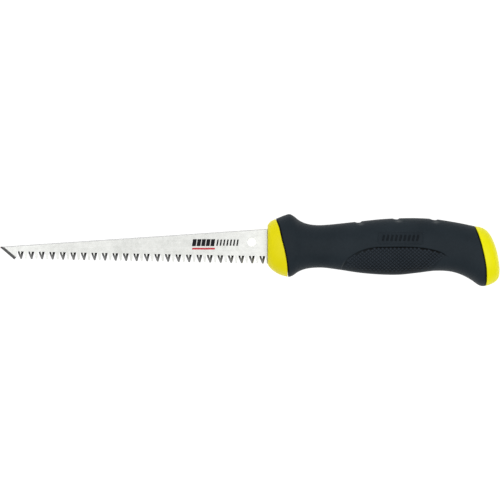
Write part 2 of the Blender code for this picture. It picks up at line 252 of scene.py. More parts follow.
def mouldedYellow(name, low, high):
    paint = Paint(name)
    grain = paint.noise(2600.0, 2.0, 0.5)
    flow = paint.noise(70.0, 3.0, 0.5)
    scuff = paint.noise(1.0, 3.0, 0.6, paint.coords(scale=(260, 900, 260), turn=(0, 0, 0.4)))
    tone = flow * 0.7 + grain * 0.3
    colour = paint.ramp(tone, [(0.35, low), (0.65, high)])
    rough = grain * 0.10 + scuff * 0.12 + 0.30
    return paint.finish(colour, rough, {"Specular IOR Level": 0.12}, grain, 0.00003, 0.3)


rubberLook = {
    "groove": (0.0024, 0.0022, 0.0022, 1.0),  # painted shade, where that attribute is 1; the emblem plate's darker tone uses it too
    "worn": (0.115, 0.125, 0.130, 1.0),  # painted highlight, where that attribute is 1
}


def softRubber(name, low, high):
    paint = Paint(name)
    grain = paint.noise(3400.0, 2.0, 0.6)
    cloud = paint.noise(60.0, 3.0, 0.55)
    dust = paint.noise(900.0, 5.0, 0.7)
    tone = cloud * 0.6 + dust * 0.4
    colour = paint.ramp(tone, [(0.35, low), (0.68, high)])
    # painted shade on the panel floor, along the crease and beside the seams, plus the emblem plate's darker tone
    groove = paint.add("Attribute", output="Fac", attribute_name="groove")
    colour = paint.blend(groove, colour, rubberLook["groove"])
    # painted highlight
    worn = paint.add("Attribute", output="Fac", attribute_name="worn")
    colour = paint.blend(worn, colour, rubberLook["worn"])
    rough = cloud * 0.10 + grain * 0.10 + 0.42
    return paint.finish(colour, rough, {"Specular IOR Level": 0.06}, grain * 0.7 + dust * 0.3, 0.00005, 0.5)


def printedInk(name, colour):
    paint = Paint(name)
    speck = paint.noise(5000.0, 3.0, 0.6)
    shade = paint.ramp(speck, [(0.3, colour), (0.75, tuple(c * 1.6 + 0.01 for c in colour))])
    return paint.finish(shade, speck * 0.2 + 0.4, {"Specular IOR Level": 0.08}, speck, 0.00001, 0.3)


def paleFloor():
    paint = Paint("paleFloor")
    cloud = paint.noise(6.0, 2.0, 0.5)
    colour = paint.ramp(cloud, [(0.3, 0.30), (0.7, 0.34)])
    return paint.finish(colour, 0.8, {"Emission Color": grey(1.0), "Emission Strength": 0.90})


steelFace = brushedSteel()
steelGround = groundSteel()
steelPin = pinSteel()
# the nose core and the butt cap are one yellow plastic; the cap's paler tone and the core's darker one are painted
# light and shade
yellowCore = mouldedYellow("yellowCore", (0.795, 0.705, 0.003), (0.865, 0.77, 0.004))
yellowCap = mouldedYellow("yellowCap", (0.88, 0.83, 0.002), (0.94, 0.89, 0.003))
rubberBlack = softRubber("rubberBlack", (0.0161, 0.0226, 0.0284), (0.0223, 0.0306, 0.0381))
# painted light: the studs are the grip's own rubber, painted paler than it
rubberStud = softRubber("rubberStud", (0.0222, 0.0292, 0.0374), (0.0298, 0.0378, 0.0478))
rubberRib = softRubber("rubberRib", (0.0085, 0.0115, 0.0145), (0.0118, 0.0157, 0.0197))
inkBlack = printedInk("inkBlack", (0.006, 0.005, 0.008))
inkRed = printedInk("inkRed", (0.46, 0.028, 0.045))
print("finishes made")


# mesh helpers

def meshObject(name, verts, faces, finish, smoothAngle=35):
    mesh = bpy.data.meshes.new(name)
    mesh.from_pydata(verts, [], faces)
    work = bmesh.new()
    work.from_mesh(mesh)
    bmesh.ops.recalc_face_normals(work, faces=work.faces)
    work.to_mesh(mesh)
    work.free()
    mesh.materials.append(finish)
    obj = bpy.data.objects.new(name, mesh)
    bpy.context.scene.collection.objects.link(obj)
    return smooth(obj, smoothAngle)


def smooth(obj, angle):
    obj.data.shade_smooth()
    obj.data.set_sharp_from_angle(angle=math.radians(angle))
    return obj


def ringBody(name, rings, finish, loop=False, smoothAngle=35):
    # closed body through rings of equal count; the ends close on a middle point unless the rings form a loop
    count = len(rings[0])
    verts = np.concatenate(rings).tolist()
    faces = []
    pairs = list(zip(range(len(rings)), range(1, len(rings))))
    if loop:
        pairs.append((len(rings) - 1, 0))
    for a, b in pairs:
        for k in range(count):
            m = (k + 1) % count
            faces.append((a * count + k, a * count + m, b * count + m, b * count + k))
    if not loop:
        for end in (0, len(rings) - 1):
            centre = len(verts)
            verts.append(rings[end].mean(axis=0).tolist())
            faces += [(end * count + k, end * count + (k + 1) % count, centre) for k in range(count)]
    return meshObject(name, verts, faces, finish, smoothAngle)


def blockOf(low, high):
    verts = [(x, y, z) for x in (low[0], high[0]) for y in (low[1], high[1]) for z in (low[2], high[2])]
    faces = [(0, 1, 3, 2), (4, 6, 7, 5), (0, 4, 5, 1), (2, 3, 7, 6), (0, 2, 6, 4), (1, 5, 7, 3)]
    return verts, faces


def carve(obj, operation, cutter):
    # cuts the piece with another body, which is used up
    step = obj.modifiers.new(operation.title(), "BOOLEAN")
    step.operation = operation
    step.solver = "MANIFOLD"
    step.object = cutter
    bake(obj)
    bpy.data.objects.remove(cutter, do_unlink=True)


def drill(obj, x, y, profile, sides=48):
    # takes an upright round bar through (radius, height) pairs out of the piece
    angle = np.linspace(0, 2 * math.pi, sides, endpoint=False)
    rings = [np.stack([x + r * np.cos(angle), y + r * np.sin(angle), np.full(sides, z)], -1) for r, z in profile]
    carve(obj, "DIFFERENCE", ringBody("drillBit", rings, obj.data.materials[0]))


def bake(obj):
    # swaps the object's mesh for what its modifiers make
    graph = bpy.context.evaluated_depsgraph_get()
    mesh = bpy.data.meshes.new_from_object(obj.evaluated_get(graph))
    obj.modifiers.clear()
    obj.data = mesh


def curveThrough(points, at):
    # Catmull-Rom through rows of numbers, at any places counted in rows
    rows = np.asarray(points, float)
    last = len(rows) - 1
    rows = np.vstack([2 * rows[0] - rows[1], rows, 2 * rows[-1] - rows[-2]])
    at = np.clip(at, 0, last - 1e-9)
    k = at.astype(int)
    t = (at - k)[..., None]
    a, b, c, d = (rows[k + i] for i in range(4))
    return (2 * b + (c - a) * t + (2 * a - 5 * b + 4 * c - d) * t**2 + (3 * b - a - 3 * c + d) * t**3) / 2


def softStep(value, low, high):
    t = np.clip((value - low) / (high - low), 0, 1)
    return t * t * (3 - 2 * t)


class Tree:  # one geometry node group
    def __init__(self, name, inputs):
        self.tree = bpy.data.node_groups.new(name, "GeometryNodeTree")
        self.tree.is_modifier = True
        self.sockets = {}
        labels = {"Geometry": "Geometry", **inputs}
        for label, kind in labels.items():
            item = self.tree.interface.new_socket(name=label, in_out="INPUT", socket_type="NodeSocket" + kind)
            self.sockets[label] = item.identifier
        self.tree.interface.new_socket(name="Geometry", in_out="OUTPUT", socket_type="NodeSocketGeometry")
        self.start = self.tree.nodes.new("NodeGroupInput")

    def __getitem__(self, label):
        return self.start.outputs[label]

    def node(self, kind, inputs=None, **settings):
        node = self.tree.nodes.new(kind if "Node" in kind else "GeometryNode" + kind)
        for key, value in settings.items():
            setattr(node, key, value)
        for key, value in (inputs or {}).items():
            for one in value if isinstance(value, list) else [value]:
                if isinstance(one, bpy.types.NodeSocket):
                    self.tree.links.new(one, node.inputs[key])
                else:
                    node.inputs[key].default_value = one
        return node

    def add(self, kind, inputs=None, output=0, **settings):
        return self.node(kind, inputs, **settings).outputs[output]

    def sum(self, operation, first, second):
        return self.add("ShaderNodeMath", {0: first, 1: second}, operation=operation)

    def vector(self, x=0.0, y=0.0, z=0.0):
        return self.add("ShaderNodeCombineXYZ", {0: x, 1: y, 2: z})

    def parts(self, vector):
        return self.node("ShaderNodeSeparateXYZ", {0: vector}).outputs

    def scaled(self, vector, by):
        return self.add("ShaderNodeVectorMath", {0: vector, "Scale": by}, operation="SCALE")

    def plus(self, first, second):
        return self.add("ShaderNodeVectorMath", {0: first, 1: second}, operation="ADD")

    def onto(self, surface, side):
        # where the line along Z through each point meets the surface, and the room for studs there
        target = self.add("ObjectInfo", {"Object": surface}, "Geometry")
        start = self.plus(self.add("InputPosition"), self.vector(z=self.sum("MULTIPLY", side, 0.05)))
        share = self.add("InputNamedAttribute", {"Name": "studRoom"}, data_type="FLOAT")
        down = self.vector(z=self.sum("MULTIPLY", side, -1.0))
        inputs = {"Target Geometry": target, "Attribute": share, "Source Position": start, "Ray Direction": down}
        return self.node("Raycast", {**inputs, "Ray Length": 0.2}, data_type="FLOAT").outputs

    def close(self, geometry, finish, ground=None):
        # the second finish goes on the faces that are marked as ground
        real = self.add("RealizeInstances", {0: geometry})
        painted = self.add("SetMaterial", {"Geometry": real, "Material": finish})
        if ground:
            marked = self.add("InputNamedAttribute", {"Name": "ground"}, data_type="BOOLEAN")
            inputs = {"Geometry": painted, "Selection": marked, "Material": ground}
            painted = self.add("SetMaterial", inputs)
        end = self.tree.nodes.new("NodeGroupOutput")
        self.tree.links.new(painted, end.inputs[0])

    def apply(self, obj, values):
        step = obj.modifiers.new("nodes", "NODES")
        step.node_group = self.tree
        for label, value in values.items():
            step[self.sockets[label]] = value
        bake(obj)
        return obj

    def make(self, name, values):
        # runs on an empty mesh, and the plain mesh that comes out is the piece
        obj = bpy.data.objects.new(name, bpy.data.meshes.new(name))
        bpy.context.scene.collection.objects.link(obj)
        return self.apply(obj, values)


# blade

def toothLine(x):
    return blade["firstTooth"][1] + (x - blade["firstTooth"][0]) * blade["toothSlope"]


def rootLine(x):
    return toothLine(x) + blade["depth"]


def bladeCorners():
    # (full place, ground place, face it is ground from, a ground flank follows, lies on the back)
    point, end = Vector(blade["point"]), Vector(blade["plungeEnd"])
    run = (end - point).normalized()
    inward = Vector((-run.y, run.x)) * blade["plungeWidth"]
    backRun = (Vector(blade["backHeel"]) - point).normalized()
    along = blade["plungeWidth"] / abs(run.x * backRun.y - run.y * backRun.x)
    atPoint, atEnd = blade["plungeTaper"]
    ground = point + backRun * along * atPoint, end + inward * atEnd
    gullet = blade["firstTooth"][0] - blade["wide"][0] - blade["firstGullet"]
    heel = blade["firstTooth"][0] + (blade["count"] - 1) * blade["pitch"]
    root, shoulder, tip, shoulderDepth = blade["slim"][:4]
    tooth = toothLine(heel) + blade["slimShorter"]
    low, high, far, cut = blade["tang"]
    plain = [
        blade["plungeCorner"], (gullet, rootLine(gullet)),
        (heel - root, rootLine(heel - root)), (heel - shoulder, rootLine(heel) - shoulderDepth),
        (heel - tip, tooth), (blade["heelInside"], tooth),
        (blade["heelInside"], low), (far - cut, low), (far, low + cut), (far, high - cut), (far - cut, high),
        (blade["backHeel"][0], high),
    ]
    corners = [(tuple(point), tuple(ground[0]), 1, True, True), (tuple(end), tuple(ground[1]), 1, False, False)]
    corners += [(place, place, 0, False, False) for place in plain]
    corners.append((blade["backHeel"], blade["backHeel"], 0, False, True))
    return corners


def plate(name, corners, levels):
    # flat body through the levels; each corner moves from its ground place to its full place
    half = bladeThick / 2
    count = len(corners)
    verts = []
    for level in levels:
        for full, ground, side, flank, back in corners:
            full, ground = np.array(full), np.array(ground)
            reach = min(1.0, max(0.0, (half - side * level) / (bladeThick - blade["land"])))
            place = ground + (full - ground) * reach if side else full
            if back and abs(level) == half:
                place = place - np.array([0.0, blade["backTrim"]])
            verts.append((*place.tolist(), midZ + level))
    last = (len(levels) - 1) * count
    faces = [tuple(range(count)), tuple(range(last, last + count))]
    marks = [False, False]
    for row in range(len(levels) - 1):
        for k in range(count):
            m = (k + 1) % count
            faces.append((row * count + k, row * count + m, (row + 1) * count + m, (row + 1) * count + k))
            marks.append(corners[k][3] or corners[k][4] and corners[m][4])
    obj = meshObject(name, verts, faces, steelFace, 20)
    mark = obj.data.attributes.new("ground", "BOOLEAN", "FACE")
    mark.data.foreach_set("value", marks)
    return obj


def toothBody(name, kind, side):
    # one tooth hanging from its root line at the origin
    root, shoulder, tip, drop, groundRoot, groundMiddle, groundDrop, groundDepth = blade[kind]
    depth = blade["depth"] - (blade["slimShorter"] if kind == "slim" else 0)
    leans = (0.0, *blade["lean"][kind])
    full = list(zip((root, shoulder, tip), (0, -drop, -depth), leans))
    widths = (groundRoot, groundMiddle, blade["groundTip"])
    shifts = (blade["flatShift"], blade["flatShift"] / 2, 0)
    ground = list(zip(widths, (0, -groundDrop, -groundDepth), shifts))
    flanks = [True, True, False, True, True, False]
    corners = []
    for way, order in ((-1, (0, 1, 2)), (1, (2, 1, 0))):
        for k in order:
            outer, inner = ((way * width + lean, y) for width, y, lean in (full[k], ground[k]))
            corners.append((outer, inner, side, flanks[len(corners)], False))
    half = bladeThick / 2
    levels = [half * side, (blade["land"] - half) * side, -half * side]
    return plate(name, corners, levels if side > 0 else levels[::-1])


def toothTree():
    kinds = {
        "Wide tooth": "Object", "Slim tooth": "Object", "Face": "Material", "Ground": "Material",
        "Count": "Int", "First": "Vector", "Step": "Vector", "Lean": "Vector",
    }
    tree = Tree("toothRow", kinds)
    inputs = {"Count": tree["Count"], "Start Location": tree["First"], "Offset": tree["Step"]}
    row = tree.add("MeshLine", inputs)
    slim = tree.sum("MODULO", tree.add("InputIndex"), 2.0)
    groups = [tree["Geometry"]]
    for label, chosen in (("Wide tooth", tree.sum("SUBTRACT", 1.0, slim)), ("Slim tooth", slim)):
        shape = tree.add("ObjectInfo", {"Object": tree[label]}, "Geometry")
        inputs = {"Points": row, "Selection": chosen, "Instance": shape, "Rotation": tree["Lean"]}
        groups.append(tree.add("InstanceOnPoints", inputs))
    joined = tree.add("JoinGeometry", {0: groups})
    tree.close(joined, tree["Face"], tree["Ground"])
    return tree


def makeBlade():
    half = bladeThick / 2
    cham = blade["chamfer"]
    obj = plate("bladeSheet", bladeCorners(), (half, half - cham, blade["land"] - half, -half))
    x, y, radius = blade["hole"]
    wider, deep = blade["holeFlare"]
    flare = radius + wider
    profile = [(flare, half + deep), (radius, half - deep), (radius, deep - half), (flare, -half - deep)]
    drill(obj, x, y, [(r, midZ + z) for r, z in profile], 64)
    past = 0.001  # the drill reaches past both faces
    for x, y in blade["pinHoles"]:
        drill(obj, x, y, [(blade["pinHoleRadius"], z) for z in (bladeBox[0].z - past, bladeBox[1].z + past)])
    first = blade["firstTooth"][0]
    lean = math.atan(blade["toothSlope"])
    teeth = toothBody("wideTooth", "wide", 1), toothBody("slimTooth", "slim", -1)
    values = {
        "Wide tooth": teeth[0], "Slim tooth": teeth[1], "Face": steelFace, "Ground": steelGround,
        "Count": blade["count"] - 1, "First": (first, rootLine(first), 0.0),
        "Step": (blade["pitch"], blade["pitch"] * blade["toothSlope"], 0.0), "Lean": (0.0, 0.0, lean),
    }
    toothTree().apply(obj, values)
    for tooth in teeth:
        bpy.data.objects.remove(tooth, do_unlink=True)
    smooth(obj, 20)
    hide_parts("blade")
    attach(obj, "root")


makeBlade()
print("blade made")


# handle skin: sections between a top and a bottom edge point

handle = {
    # top x, y, bottom x, y, half thickness, roundness
    "stations": (
        (0.0102, 0.0139, 0.0102, -0.0079, 0.0092, 2.9),
        (0.0106, 0.0149, 0.0107, -0.0090, 0.0104, 2.8),
        (0.0120, 0.0164, 0.0128, -0.0114, 0.0120, 2.7),
        (0.0146, 0.0177, 0.0170, -0.0140, 0.0134, 2.6),
        (0.0172, 0.0188, 0.0217, -0.0153, 0.0141, 2.5),
        (0.0203, 0.0200, 0.0238, -0.0150, 0.0145, 2.5),
        (0.0228, 0.02055, 0.0256, -0.0139, 0.0145, 2.5),
        (0.0252, 0.0193, 0.0276, -0.0125, 0.0140, 2.5),
        (0.0283, 0.0169, 0.0303, -0.0113, 0.0131, 2.45),
        (0.0320, 0.0152, 0.0335, -0.0105, 0.0123, 2.4),
        (0.0370, 0.0143, 0.0378, -0.0101, 0.0118, 2.4),
        (0.0430, 0.01435, 0.0430, -0.0102, 0.0117, 2.4),
        (0.0530, 0.0153, 0.0520, -0.0114, 0.0122, 2.4),
        (0.0640, 0.0165, 0.0625, -0.0130, 0.0129, 2.4),
        (0.0760, 0.0177, 0.0740, -0.0140, 0.0134, 2.4),
        (0.0870, 0.0182, 0.0850, -0.01415, 0.0135, 2.4),
        (0.0970, 0.0182, 0.0955, -0.0131, 0.0131, 2.4),
        (0.1060, 0.0176, 0.1055, -0.0119, 0.0127, 2.4),
        (0.1135, 0.0165, 0.1140, -0.0122, 0.0126, 2.4),
        (0.1193, 0.0155, 0.1205, -0.0140, 0.0129, 2.4),
        (0.1242, 0.0145, 0.1260, -0.0168, 0.0135, 2.45),
        (0.1280, 0.0137, 0.1310, -0.0202, 0.0142, 2.5),
        (0.1310, 0.0132, 0.1345, -0.0205, 0.0145, 2.5),
        (0.1340, 0.0120, 0.1378, -0.0194, 0.0144, 2.5),
        (0.1366, 0.0094, 0.1402, -0.0180, 0.0134, 2.5),
        (0.1388, 0.0052, 0.1417, -0.0161, 0.0114, 2.5),
        (0.1404, 0.0008, 0.1423, -0.0140, 0.0085, 2.5),
        (0.1414, -0.0032, 0.1425, -0.0114, 0.0048, 2.5),
    ),
    "frontSeam": (
        (0.0149, 0.0179), (0.0168, 0.0126), (0.0182, 0.0062),
        (0.0199, -0.0006), (0.0212, -0.0079), (0.0218, -0.0153),
    ),
    "rearSeam": (
        (0.1281, 0.0138), (0.1303, 0.0067), (0.1317, 0.0013), (0.1329, -0.0042),
        (0.1339, -0.0097), (0.1343, -0.0151), (0.1344, -0.0182), (0.1344, -0.0206),
    ),
    "seamWidth": 0.00004,  # extra set-back of the yellow pieces
    "seamDark": 0.00075,  # width of the painted shade on the grip's lip beside each seam
    "frontRange": (0.5, 8.0),  # stations between which each seam lies
    "rearRange": (17.0, 26.0),
    "spineLast": 22.0,  # station where the core ends, inside the butt cap
    "wall": 0.0028,  # thickness of the grip
    "lip": 0.00022,  # rounding of the edges along the seams
    "sides": 228,
    "panelTurn": ((68, 80), (138, 150)),  # degrees from the top between which side lines are closer together
    "panelGain": 2.4,
}


def skin(at, angle, inset=0.0):
    row = curveThrough(handle["stations"], at)
    topX, topY, lowX, lowY, thick, power = np.moveaxis(row, -1, 0)
    thick = np.minimum(thick, midZ) - inset
    halfX, halfY = (topX - lowX) / 2, (topY - lowY) / 2
    length = np.hypot(halfX, halfY)
    c, d = np.cos(angle), np.sin(angle)
    rise = np.sign(c) * np.abs(c) ** (2 / power) * (length - inset) / length
    side = np.sign(d) * np.abs(d) ** (2 / power) * thick
    return np.stack([(topX + lowX) / 2 + halfX * rise, (topY + lowY) / 2 + halfY * rise, midZ + side], -1)


def seamX(points, y):
    line = curveThrough(points, np.linspace(0, len(points) - 1, 200))
    order = np.argsort(line[:, 1])
    return np.interp(y, line[order, 1], line[order, 0])


def seamAt(which, shift):
    # where along the stations each side line meets a seam moved by the shift
    low, high = (np.full(around.shape, v) for v in handle[which + "Range"])
    for _ in range(36):
        middle = (low + high) / 2
        place = skin(middle, around)
        ahead = place[:, 0] > seamX(handle[which + "Seam"], place[:, 1]) + shift
        high = np.where(ahead, middle, high)
        low = np.where(ahead, low, middle)
    return (low + high) / 2


def aroundAngles(count):
    # side lines, closer together where the grip's textured panels lie
    fine = np.linspace(0, 2 * math.pi, 7201)
    folded = np.degrees(np.minimum(fine, 2 * math.pi - fine))
    (outStart, outFull), (backFull, backEnd) = handle["panelTurn"]
    weight = 1 + handle["panelGain"] * softStep(folded, outStart, outFull) * softStep(-folded, -backEnd, -backFull)
    total = np.concatenate([[0], np.cumsum((weight[1:] + weight[:-1]) / 2)])
    return np.interp(np.arange(count) / count * total[-1], total, fine)


around = aroundAngles(handle["sides"])


def lipRings(which, direction, back=0.0):
    # the rounded edge beside a seam, from the gap outwards
    rings = []
    for degrees in (90, 67, 45, 22):
        turn = math.radians(degrees)
        shift = direction * (gap / 2 + back + handle["lip"] * (1 - math.sin(turn)))
        rings.append(skin(seamAt(which, shift), around, handle["lip"] * (1 - math.cos(turn))))
    return rings


def evenSteps(start, end, count, dense=None):
    # steps between two rows of places, evenly spaced along X, or three times closer between two X places
    fine = np.linspace(0, 1, 400)
    first, last = start.mean(), end.mean()
    middle = np.array([skin(first + (last - first) * f, np.array([math.pi / 2]))[0, 0] for f in fine])
    pace = np.ones(len(middle))
    if dense:
        pace += 2 * softStep(middle, dense[0] - 0.004, dense[0]) * softStep(-middle, -dense[1] - 0.004, -dense[1])
    travel = np.concatenate([[0], np.cumsum(np.diff(middle) * (pace[1:] + pace[:-1]) / 2)])
    travel = travel / travel[-1]
    share = np.interp(np.linspace(0, 1, count), travel, fine)
    return [start + (end - start) * f for f in share]


core = {
    "face": (0.0086, 0.006, 0.003, 0.001, 0.0002),  # insets of the flat front's rings
    "noseRings": 40,
    "step": 0.0012,  # first ring of the step down to the spine
    "spineRings": 36,
    "end": (0.003, 0.007),  # insets of the spine's closed end
    "keeper": (0.16, 0.03),  # reach of the block that cuts the core in halves
    "dowelHole": (0.1080, 0.0020),
    "socketDepth": 0.0063,
}


def makeCore():
    sides = handle["sides"]
    wall = handle["wall"]
    start = np.zeros(sides)
    back = gap / 2 + handle["seamWidth"]
    seam = seamAt("front", -back - handle["lip"])
    rings = [skin(start, around, inset) for inset in core["face"]]
    rings += [skin(at, around) for at in evenSteps(start, seam, core["noseRings"])]
    rings += lipRings("front", -1, handle["seamWidth"])[::-1]
    edge = seamAt("front", -back)
    end = np.full(sides, handle["spineLast"])
    rings += [skin(edge, around, inset) for inset in (core["step"], wall)]
    rings += [skin(at, around, wall) for at in evenSteps(edge, end, core["spineRings"])[1:]]
    rings += [skin(end, around, wall + more) for more in core["end"]]
    along, across = core["keeper"]
    for name, up, node in (("coreLeftHalf", 1, "core_left"), ("coreRightHalf", -1, "core_right")):
        half = ringBody(name, rings, yellowCore)
        heights = sorted((midZ + up * gap / 2, midZ + up * across))
        keep = blockOf((0, -across, heights[0]), (along, across, heights[1]))
        carve(half, "INTERSECT", meshObject("halfKeeper", *keep, yellowCore))
        for low, high in tangPockets():
            carve(half, "DIFFERENCE", meshObject("pocketCutter", *blockOf(low, high), yellowCore))
        for x, y in (*blade["pinHoles"], core["dowelHole"]):
            drill(half, x, y, [(blade["pinHoleRadius"], midZ + way * core["socketDepth"]) for way in (-1, 1)])
        smooth(half, 32)
        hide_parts(node)
        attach(half, "root")


def tangPockets():
    # room for the blade's heel, its root and its tang
    half = bladeThick / 2 + gap
    low, high, far = blade["tang"][:3]
    heelX, backY = blade["backHeel"]
    tooth = toothLine(noseX) + blade["slimShorter"]
    for start, bottom, end, top in (
        (noseX - 0.002, tooth, blade["heelInside"], backY),
        (noseX, low, heelX, backY),
        (noseX + 0.001, low, far, high),
    ):
        yield (start, bottom - gap, midZ - half), (end + gap, top + gap, midZ + half)


makeCore()
print("core made")


grip = {
    "rings": 392,
    "dense": (0.0520, 0.1160),  # rings are closer together between these places
    "innerRings": 14,
    # x, floor height, reach forwards and backwards of each thumb notch, then x and y of the painted highlight at its
    # lower end
    "notches": (
        (0.0617, 0.01560, 0.0022, 0.0023, 0.0629, 0.0150),
        (0.0836, 0.01748, 0.0024, 0.0020, 0.0845, 0.0165),
        (0.1058, 0.01708, 0.0031, 0.0018, 0.1059, 0.0160),
    ),
    "notchRise": 0.0009,
    "notchReach": 0.006,
    "rubbed": (0.0016, 0.0007, 0.0003),  # reach of the painted highlight at each notch's lower end along and across the handle, and the depth of the dent there
    "panelArc": (
        (0.0505, -0.0200), (0.0521, -0.0106), (0.0537, -0.0072), (0.0555, -0.0047), (0.0590, -0.0023),
        (0.0624, -0.0005), (0.0668, 0.0009), (0.0719, 0.0016), (0.0824, 0.0019), (0.0945, 0.0016),
        (0.1010, 0.0008), (0.1054, -0.0002), (0.1083, -0.0012), (0.1115, -0.0031), (0.1140, -0.0052),
        (0.1165, -0.0090), (0.1185, -0.0200),
    ),
    "panelDepth": 0.0004,
    "panelEdge": 0.00035,
    # where each part of the relief or of its tone fades in or out
    "panelLean": (0.0040, 0.9),  # the panel's rear end slants
    "panelRear": (0.1085, 0.1110),
    "floorRear": (0.1030, 0.1095),
    "floorFront": (0.0530, 0.0700),
    "textured": (0.0035, 0.0080),  # from the middle plane
    "crease": 0.00030,  # width and depth of the crease along the panel's edge
    "creaseDepth": 0.00025,
    "creaseFront": ((0.0600, 0.0780), (0.0550, 0.0600)),
    "creaseRear": (0.1095, 0.1135),
    "edgeRear": (0.0525, 0.0550),
    "dark": {"crease": 0.55, "seam": 0.95, "emblem": 0.08},  # strength of each dark tone; the crease's and the seams' are painted shade
    # strength of each painted highlight
    "pale": {"rubbed": 0.65, "edge": 0.32},
}


# studs of the textured panels, one lattice and another shifted by half a pitch

studs = {
    "pitch": (0.00228, 0.00192),  # along the handle and across it
    "width": 0.00200,
    "top": 0.00100,
    "height": 0.00030,
    "low": (0.0520, -0.0133),
    "high": (0.1145, 0.0030),
    "share": 0.80,  # least depth of the panel, as a share of its full one, that takes a stud
    "margin": 0.0005,  # room kept free inside the panel's edge
}


# raised frame with plain slanted ribs

emblem = {
    "middle": (0.0854, 0.0068),
    "width": 0.0258,
    "depth": 0.0066,
    "corner": 0.0014,
    "line": 0.00032,
    "ribLine": 0.00060,
    "ribs": 9,
    "ribPitch": 0.00242,
    "ribRise": 0.0033,
    "ribLean": 0.0004,
    "sink": 0.00006,
    "step": 0.0004,  # distance between the beads' rings
}


def panelTop(x):
    line = curveThrough(grip["panelArc"], np.linspace(0, len(grip["panelArc"]) - 1, 400))
    return np.interp(x, line[:, 0], line[:, 1], left=-0.05, right=-0.05)


def rearLine(place):
    # place along the handle, squared up with the panel's slanted rear end
    height, lean = grip["panelLean"]
    return place[..., 0] - (place[..., 1] + height) * lean


def offMiddle(place, fade):
    # 1 on the grip's two sides, 0 near the plane between them
    return softStep(np.abs(place[..., 2] - midZ), *fade)


def panelShare(place):
    # 1 inside the sunken panel, 0 outside it, fading out towards its rear end and under the belly
    inside = softStep(panelTop(place[..., 0]) - place[..., 1], 0, grip["panelEdge"])
    rear = 1 - softStep(rearLine(place), *grip["panelRear"])
    return inside * rear * offMiddle(place, grip["textured"])


def floorShare(place):
    # painted shade on the panel's floor between the studs, darkest in its middle
    front = 0.32 + 0.45 * softStep(place[..., 0], *grip["floorFront"])
    return panelShare(place) * front * (1 - 0.7 * softStep(rearLine(place), *grip["floorRear"]))


def creaseShare(place):
    # strongest along the line of the panel's upper edge
    along = place[..., 0]
    below = (panelTop(along) - place[..., 1]) / grip["crease"]
    slow, quick = grip["creaseFront"]
    front = (0.3 + 0.7 * softStep(along, *slow)) * softStep(along, *quick)
    ends = front * (1 - softStep(along, *grip["creaseRear"]))
    return np.exp(-((below - 0.8) ** 2)) * offMiddle(place, grip["textured"]) * ends


def seamShare(place):
    # painted shade on the lip beside each seam
    ahead = place[..., 0] - seamX(handle["frontSeam"], place[..., 1])
    behind = seamX(handle["rearSeam"], place[..., 1]) - place[..., 0]
    width = handle["seamDark"]
    return grip["dark"]["seam"] * (1 - softStep(np.minimum(ahead, behind), width * 0.7, width * 1.3))


def emblemShare(place):
    away = np.abs(place[..., :2] - np.array(emblem["middle"][:2])) - np.array([emblem["width"], emblem["depth"]]) / 2
    return 1 - softStep(away.max(-1), -0.0004, 0.0002)


def notchEndShare(place):
    # the lower end of each notch
    along, across = grip["rubbed"][:2]
    share = 0
    for *notch, x, y in grip["notches"]:
        share = share + np.exp(-(((place[..., 0] - x) / along) ** 2) - ((place[..., 1] - y) / across) ** 2)
    return share * offMiddle(place, (0.0030, 0.0060))


def edgeShare(place):
    # painted highlight along the front end of the panel's edge
    above = (place[..., 1] - panelTop(place[..., 0])) / grip["crease"]
    return np.exp(-((above / 2.0 - 0.3) ** 2)) * (1 - softStep(place[..., 0], *grip["edgeRear"]))


def gripRelief(outer):
    # notches along the top, and the sunken panel on both sides
    lengthwise = np.gradient(outer, axis=0)
    wrapped = np.concatenate([outer[:, -1:], outer, outer[:, :1]], axis=1)
    crosswise = (wrapped[:, 2:] - wrapped[:, :-2]) / 2
    normal = np.cross(lengthwise, crosswise)
    normal /= np.linalg.norm(normal, axis=-1, keepdims=True)
    outward = np.sign(((outer - outer.mean(axis=1, keepdims=True)) * normal).sum(-1).mean())
    sink = panelShare(outer) * grip["panelDepth"] + creaseShare(outer) * grip["creaseDepth"]
    sink = sink + notchEndShare(outer) * grip["rubbed"][2]
    made = outer - normal * outward * sink[..., None]
    for x, floor, fore, aft, *end in grip["notches"]:
        away = made[..., 0] - x
        reach = np.where(away < 0, fore, aft)
        limit = floor + grip["notchRise"] * np.abs(away / reach) ** 3
        over = made[..., 1] - limit
        made[..., 1] -= np.where(np.abs(away) < grip["notchReach"], softOver(over), 0)
    return made


def softOver(value, blend=0.00012):
    # like max(value, 0), with a small rounding where it starts
    return np.where(value > blend, value, np.where(value > -blend, (value + blend) ** 2 / (4 * blend), 0))


def store(obj, name, values):
    attribute = obj.data.attributes.new(name, "FLOAT", "POINT")
    attribute.data.foreach_set("value", values.astype(np.float32))


